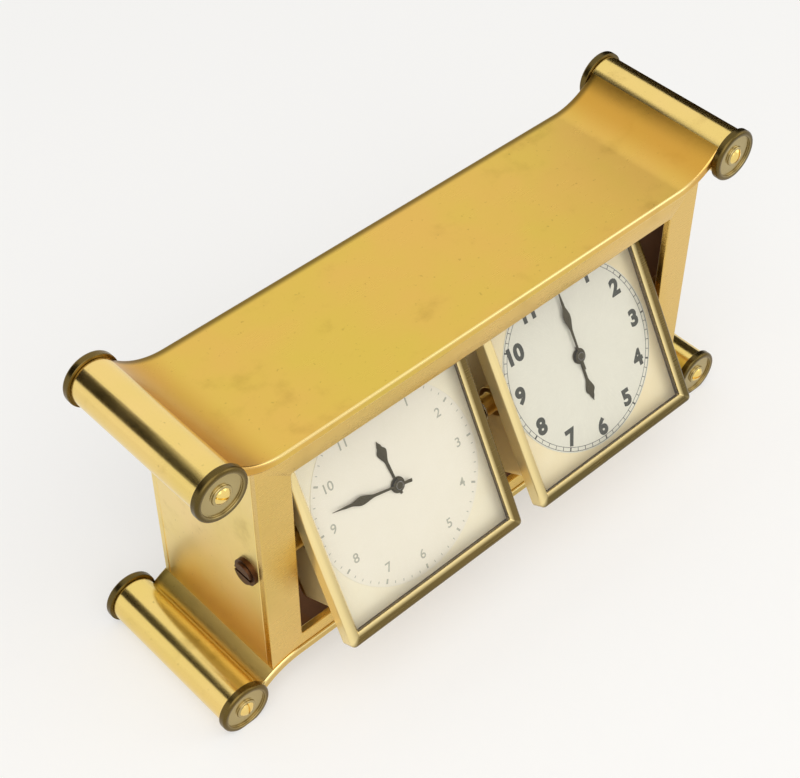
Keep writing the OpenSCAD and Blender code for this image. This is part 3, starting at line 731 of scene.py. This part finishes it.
screws = Shell()
for name, facing in (("front_roll_caps", -1), ("rear_roll_caps", 1)):
    shell = Shell()
    for sign, height in ROLL_PLACES.values():
        place = [sign * ROLL_X, CASE_Y + facing * ROLL_END, height]
        section, unshaded = cap_profile()
        points, faces = turned(section)
        shell.add(stands(points * [1, facing, 1] + place) * MM, faces, np.tile(unshaded, TURN_STEPS))

        # Every screw's slot was left pointing its own way
        points, faces = slotted_dome(CAP_SCREW_R, CAP_SCREW_H)
        points = clockwise(points, -35 - 47 * sign - 0.9 * height)
        screws.add((points * [1, facing, 1] + place + [0, facing * CAP_T, 0]) * MM, faces)
    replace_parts(shell.make(name + "_dressed", "case", "frame_brass", cap_gilt), name)
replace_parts(screws.make("roll_cap_screws_dressed", "case", "frame_brass", roll_gilt),
            "roll_cap_screws")


# Bezels

def square_path(half, radius, steps=6):
    """A square's outline with rounded corners and a guard point on each side of every corner."""
    points = []
    start = half - radius - CORNER_GUARD
    for quarter in range(4):
        turn = math.radians(90 * quarter)
        c, s = math.cos(turn), math.sin(turn)
        corner = arc((half - radius, half - radius), radius, 0, 90, steps)
        corner = np.concatenate([[[half, start]], corner, [[start, half]]])
        points.append(corner @ np.array([[c, s], [-s, c]]))
    return np.concatenate(points)


def bezel_mesh():
    """A moulding's section carried round a square: each point of the section runs on a square of
    its own, whose corners are rounder the further out it lies. The outer edge carries painted shade
    at the bottom and on the right, as if lit from the upper left, and stays pale gold on the left and
    at the top."""
    section = rounded([(BEZEL_HALF, BEZEL_BACK), (BEZEL_HALF, BEZEL_FRONT),
                       (WINDOW_HALF + BEZEL_SLOPE, BEZEL_FRONT),
                       (WINDOW_HALF, CRYSTAL_FRONT - BEZEL_LAND), (WINDOW_HALF, CRYSTAL_FRONT),
                       (SEAT_HALF, CRYSTAL_FRONT), (SEAT_HALF, BEZEL_BACK)],
                      [0.15, 2.0, 0.3, 0.1, 0.0, 0.0, 0.0], steps=9, closed=True)
    columns = []
    unshaded = []
    for half, depth in section:
        out = max(half - WINDOW_HALF, 0) / (BEZEL_HALF - WINDOW_HALF)
        path = square_path(half, WINDOW_CORNER + (BEZEL_CORNER - WINDOW_CORNER) * out)
        columns.append(np.stack([path[:, 0], np.full(len(path), depth), path[:, 1]], -1))
        # Painted shade: the outer edge darkens at the bottom and on the right, as if lit from the
        # upper left.
        shaded_side = np.clip((np.maximum(path[:, 0], -path[:, 1]) / half - 0.95) / 0.05, 0, 1)
        outer = np.clip((half - BEZEL_HALF + BEZEL_DARK) / BEZEL_FADE, 0, 1)
        unshaded.append(1 - outer * outer * (3 - 2 * outer) * shaded_side)
    points, faces = loft(np.stack(columns, 1), closed=True)
    return points, faces, np.stack(unshaded, 1).ravel()


# Printed dials

def bars(low_r, high_r, width, angles):
    """Upright ticks from one radius to another at each angle, clockwise from the top, in degrees."""
    angles = np.radians(np.array(angles, float))[:, None]
    x = np.array([-1, 1, 1, -1] * 2) * width / 2 + 0 * angles
    r = np.array([low_r, low_r, high_r, high_r] * 2, float) + 0 * x
    depth = np.array([PRINT_FRONT] * 4 + [CHAPTER_FRONT] * 4) + 0 * x
    points = np.stack([x * np.cos(angles) + r * np.sin(angles), depth,
                       r * np.cos(angles) - x * np.sin(angles)], -1)
    sides = np.array([[0, 1, 2, 3], [7, 6, 5, 4], [0, 4, 5, 1], [1, 5, 6, 2], [2, 6, 7, 3],
                      [3, 7, 4, 0]])
    faces = (sides[None] + 8 * np.arange(len(angles))[:, None, None]).reshape(-1, 4)
    return points.reshape(-1, 3), faces.tolist()


def track(inner):
    """A thin printed ring."""
    outer = inner + TRACK_W
    section = [(inner, PRINT_FRONT), (outer, PRINT_FRONT), (outer, CHAPTER_FRONT),
               (inner, CHAPTER_FRONT)]
    return turned(section, TRACK_STEPS, looped=True)


def number(text, size, weight):
    """A plain number as a thin solid in x and z, centred on the origin and facing -y."""
    curve = bpy.data.curves.new("number", "FONT")
    curve.body = text
    curve.size = size
    curve.offset = weight
    curve.extrude = (CHAPTER_FRONT - PRINT_FRONT) / 2
    curve.resolution_u = 4
    holder = bpy.data.objects.new("number", curve)
    bpy.context.scene.collection.objects.link(holder)
    bpy.context.view_layer.update()
    ready = holder.evaluated_get(bpy.context.evaluated_depsgraph_get())
    mesh = bpy.data.meshes.new_from_object(ready)
    points = np.zeros(len(mesh.vertices) * 3)
    mesh.vertices.foreach_get("co", points)
    points = points.reshape(-1, 3)
    points[:, :2] -= (points[:, :2].min(0) + points[:, :2].max(0)) / 2
    depth = (PRINT_FRONT + CHAPTER_FRONT) / 2 - points[:, 2]
    faces = [list(polygon.vertices) for polygon in mesh.polygons]
    bpy.data.objects.remove(holder)
    bpy.data.curves.remove(curve)
    bpy.data.meshes.remove(mesh)
    return np.stack([points[:, 0], depth, points[:, 1]], -1), faces


# Each dial's print: the tracks' inner radii, the inner radius, outer radius and width of its minute
# and hour ticks, and the numbers' size, added weight and distance from the centre
PRINTS = {
    "left": {"tracks": (), "minutes": (22.9, 23.5, 0.18), "hours": (22.3, 23.5, 0.5),
             "numbers": (3.4, 0.03, 19.4)},
    "right": {"tracks": (22.75, 23.75), "minutes": (22.8, 23.8, 0.16), "hours": (22.8, 23.8, 0.42),
              "numbers": (5.8, 0.3, 20.2)}}
HOUR_ANGLES = [30 * hour for hour in range(12)]
MINUTE_ANGLES = [6 * minute for minute in range(60) if minute % 5]


def printed(side, place):
    """All marks of one dial."""
    look = PRINTS[side]
    parts = [track(inner) for inner in look["tracks"]]
    parts.append(bars(*look["minutes"], MINUTE_ANGLES))
    parts.append(bars(*look["hours"], HOUR_ANGLES))
    size, weight, ring_r = look["numbers"]
    for hour in range(1, 13):
        a = math.radians(30 * hour)
        points, faces = number(str(hour), size, weight)
        parts.append((points + [ring_r * math.sin(a), 0, ring_r * math.cos(a)], faces))
    marks = Shell()
    for points, faces in parts:
        marks.add(placed(points, place), faces)
    return marks


def chapter_ring():
    """The thin disc that carries the print."""
    section = rounded([(CHAPTER_BORE, DIAL_FRONT), (CHAPTER_BORE, CHAPTER_FRONT),
                       (CHAPTER_R, CHAPTER_FRONT), (CHAPTER_R, DIAL_FRONT)],
                      [0, 0.03, 0.06, 0], steps=3, closed=True)
    return turned(section, CHAPTER_STEPS, looped=True)


# Hands

def blade(length, widths, front):
    """A hand: at each distance along it a ridged section of half width w(t), ridge forward and back
    flat. widths lists (share of the length, half width), joined by smooth curves."""
    share, half = np.array(widths, float).T
    t = np.linspace(share[0], share[-1], 90)
    k = np.clip(np.searchsorted(share, t, side="right") - 1, 0, len(share) - 2)
    u = (t - share[k]) / (share[k + 1] - share[k])
    w = half[k] + (half[k + 1] - half[k]) * u * u * (3 - 2 * u)
    s = np.array([-1, -0.55, 0, 0.55, 1])
    x = w[:, None] * s
    z = (t * length)[:, None] + 0 * x
    face = np.stack([x, front + HAND_RIDGE * np.abs(s) ** 1.5 + 0 * x, z], -1)
    back = np.stack([x, np.full_like(x, front + HAND_T), z], -1)[:, ::-1]
    return loft(np.concatenate([face, back], 1))


def hand(length, hub_r, bore_r, front, widths, turn):
    """Blade and hub ring, turned clockwise to its time."""
    blade_points, blade_faces = blade(length, widths, front)
    back = front + HAND_T
    ring = rounded([(bore_r, front), (hub_r, front), (hub_r, back), (bore_r, back)],
                   [0.04, 0.09, 0.03, 0.03], steps=4, closed=True)
    ring_points, ring_faces = turned(ring, HUB_STEPS, looped=True)
    faces = blade_faces + [[k + len(blade_points) for k in face] for face in ring_faces]
    return clockwise(np.concatenate([blade_points, ring_points]), turn), faces


def hand_nut():
    """The small nut on the minute hand."""
    top = MINUTE_FRONT - NUT_H
    section = rounded([(0, top), (0.9, top), (1.15, MINUTE_FRONT), (0, MINUTE_FRONT)],
                      [0, 0.25, 0.03, 0])
    return turned(section, NUT_STEPS)


# Each hand's length, hub radius, bore radius, front and widths
HANDS = {
    "hour": (12.5, 2.0, ARBOR_R + 0.1, HOUR_FRONT,
             [(-0.2, 0.35), (0.1, 0.32), (0.5, 0.42), (0.76, 1.4), (0.88, 0.65), (1.0, 0.06)]),
    "minute": (19.0, 1.6, ARBOR_R, MINUTE_FRONT,
               [(-0.2, 0.4), (0.1, 0.28), (0.35, 0.34), (0.57, 1.1), (0.74, 0.36), (1.0, 0.05)])}


# Tilting units

def coat(node, material):
    """Puts a material on a CAD node that is shown as it is."""
    NODES[node].data.materials.clear()
    NODES[node].data.materials.append(material)


for side in ("left", "right"):
    place = unit_matrix(side)
    unit = f"{side}_unit"

    points, faces, unshaded = bezel_mesh()
    shell = shell_of(placed(points, place), faces, unshaded)
    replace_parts(shell.make(f"{side}_bezel_dressed", unit, "frame_brass", bezel_gilt),
                f"{side}_bezel")

    points, faces = chapter_ring()
    shell = shell_of(placed(points, place), faces)
    shell.make(f"{side}_chapter", unit, "dial_silver", chapters[side])
    marks = printed(side, place)
    marks.make(f"{side}_numbers", unit, "dark_bronze", inks[side], outwards=False)

    for kind, turn in zip(("hour", "minute"), HAND_TURNS[side]):
        points, faces = hand(*HANDS[kind], turn)
        shell = shell_of(placed(points, place), faces)
        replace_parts(shell.make(f"{side}_{kind}_hand_dressed", f"{side}_{kind}", "dark_bronze",
                               hand_bronze), f"{side}_{kind}_hand")
    points, faces = hand_nut()
    shell = shell_of(placed(points, place), faces)
    shell.make(f"{side}_hand_nut", f"{side}_minute", "dark_bronze", hand_bronze)

    coat(f"{side}_crystal", glass)
    for node, width, slot, material in (
            ("dial", 0.05, "dial_silver", dial_plates[side]),
            ("housing", 0.3, "movement_brass", housing_gilt),
            ("back_cover", 0.25, "movement_brass", movement_gilt),
            ("pivot_bushes", 0.15, "movement_brass", movement_gilt),
            ("cover_screws", 0.12, "steel", steel),
            ("setting_knob", 0.2, "movement_brass", movement_gilt),
            ("winding_key", 0.2, "movement_brass", movement_gilt)):
        softened(f"{side}_{node}", width, material)

BARE = {"pivot_spacers": movement_gilt, "tension_washers": steel, "centre_pivot_pin": steel,
        "case_screws": steel}
for side in ("left", "right"):
    BARE.update({f"{side}_movement_plates": movement_gilt, f"{side}_centre_arbor": steel,
                 f"{side}_centre_wheel": movement_gilt, f"{side}_mainspring_barrel": movement_gilt,
                 f"{side}_balance_wheel": movement_gilt, f"{side}_balance_cock": steel})
for node, material in BARE.items():
    coat(node, material)


# Studio: floor, world, boards, lamps and camera, in metres

FLOOR_HALF = 2.5
FLOOR_DROP = 0.0001
MIDDLE = (0.0, CASE_Y * MM, CASE_Z * MM)

# The camera that was fitted to corner points read in the photo
CAMERA_LENS = 77.62
CAMERA_AT = (-0.20647, -0.20509, 0.34543)
CAMERA_TOWARDS = (0.4719, 0.5094, -0.7196)


def shown(f):
    """1 for what the camera sees, straight or in metal or glass, and 0 for the light on matt
    things."""
    path = f.node("ShaderNodeLightPath").outputs
    seen = Socket(f, path["Is Camera Ray"]) + Socket(f, path["Is Glossy Ray"])
    return seen + Socket(f, path["Is Transmission Ray"])


def sheet(name, corners, material):
    """A flat sheet with four corners."""
    mesh = bpy.data.meshes.new(name)
    mesh.from_pydata(corners, [], [(0, 1, 2, 3)])
    mesh.materials.append(material)
    made = bpy.data.objects.new(name, mesh)
    bpy.context.scene.collection.objects.link(made)
    return made


def studio_floor():
    """White paper that keeps the clock's shadow."""
    f = Finish("floor")
    paper = f.node("ShaderNodeBsdfDiffuse", {}, {0: (0.94, 0.93, 0.91, 1.0)})
    glow = f.node("ShaderNodeEmission", {}, {0: (1.0, 1.0, 0.995, 1.0), 1: 1.0})
    x, y = f.parts()[:2]
    far = ((x * x + y * y + 1e-9) ** 0.5).rise(0.2, 1.0)
    mixed = f.node("ShaderNodeMixShader", {}, {0: shown(f) * (0.45 + 0.55 * far),
                                              1: paper.outputs[0], 2: glow.outputs[0]})
    f.node("ShaderNodeOutputMaterial", {}, {0: mixed.outputs[0]})
    half = FLOOR_HALF
    floor = sheet("floor", [(-half, -half, 0), (half, -half, 0), (half, half, 0), (-half, half, 0)],
                  f.material)
    floor.location.z = -FLOOR_DROP


def studio_world():
    """White all round, and softer as a light than as a background."""
    world = bpy.data.worlds.new("studio")
    world.use_nodes = True
    bpy.context.scene.world = world
    f = Finish("studio", world.node_tree)
    light = f.node("ShaderNodeBackground", {}, {0: (1.0, 0.995, 0.985, 1.0),
                                               1: shown(f) * 0.4 + 0.6})
    f.node("ShaderNodeOutputWorld", {}, {0: light.outputs[0]})


def dark_flag(name, x, corners):
    """A dark board out of sight, upright and with corners (y, z), which the polished rolls and
    sweeps mirror as a dark band."""
    f = Finish(name)
    board = f.node("ShaderNodeBsdfDiffuse", {}, {0: (0.02, 0.014, 0.006, 1.0)})
    f.node("ShaderNodeOutputMaterial", {}, {0: board.outputs[0]})
    flag = sheet(name, [(x, y, z) for y, z in corners], f.material)
    flag.visible_camera = False
    flag.visible_diffuse = False
    flag.visible_shadow = False


def lamp(name, place, target, size, watts, colour=(1.0, 1.0, 1.0)):
    """A square lamp that faces the target."""
    light = bpy.data.lights.new(name, "AREA")
    light.size = size
    light.energy = watts
    light.color = colour
    holder = bpy.data.objects.new(name, light)
    holder.location = place
    holder.rotation_euler = (Vector(target) - Vector(place)).to_track_quat("-Z", "Y").to_euler()
    bpy.context.scene.collection.objects.link(holder)


studio_floor()
studio_world()
dark_flag("left_flag", -0.24, [(0.04, 0.14), (0.5, 0.14), (0.5, 0.78), (0.04, 0.16)])
dark_flag("right_flag", 0.22, [(0.03, 0.0), (0.16, 0.0), (0.16, 0.21), (0.03, 0.21)])
lamp("key", (-0.35, -0.45, 0.85), MIDDLE, 1.1, 5.4, (1.0, 0.985, 0.96))
lamp("fill", (0.7, -0.5, 0.5), MIDDLE, 0.6, 1.4)

camera = bpy.data.cameras.new("camera")
camera.lens = CAMERA_LENS
camera.sensor_width = 36.0
camera.sensor_fit = "HORIZONTAL"
camera.clip_start = 0.01
viewer = bpy.data.objects.new("camera", camera)
viewer.location = CAMERA_AT
viewer.rotation_euler = Vector(CAMERA_TOWARDS).to_track_quat("-Z", "Y").to_euler()
bpy.context.scene.collection.objects.link(viewer)
bpy.context.scene.camera = viewer
bpy.context.scene.view_settings.view_transform = "Standard"
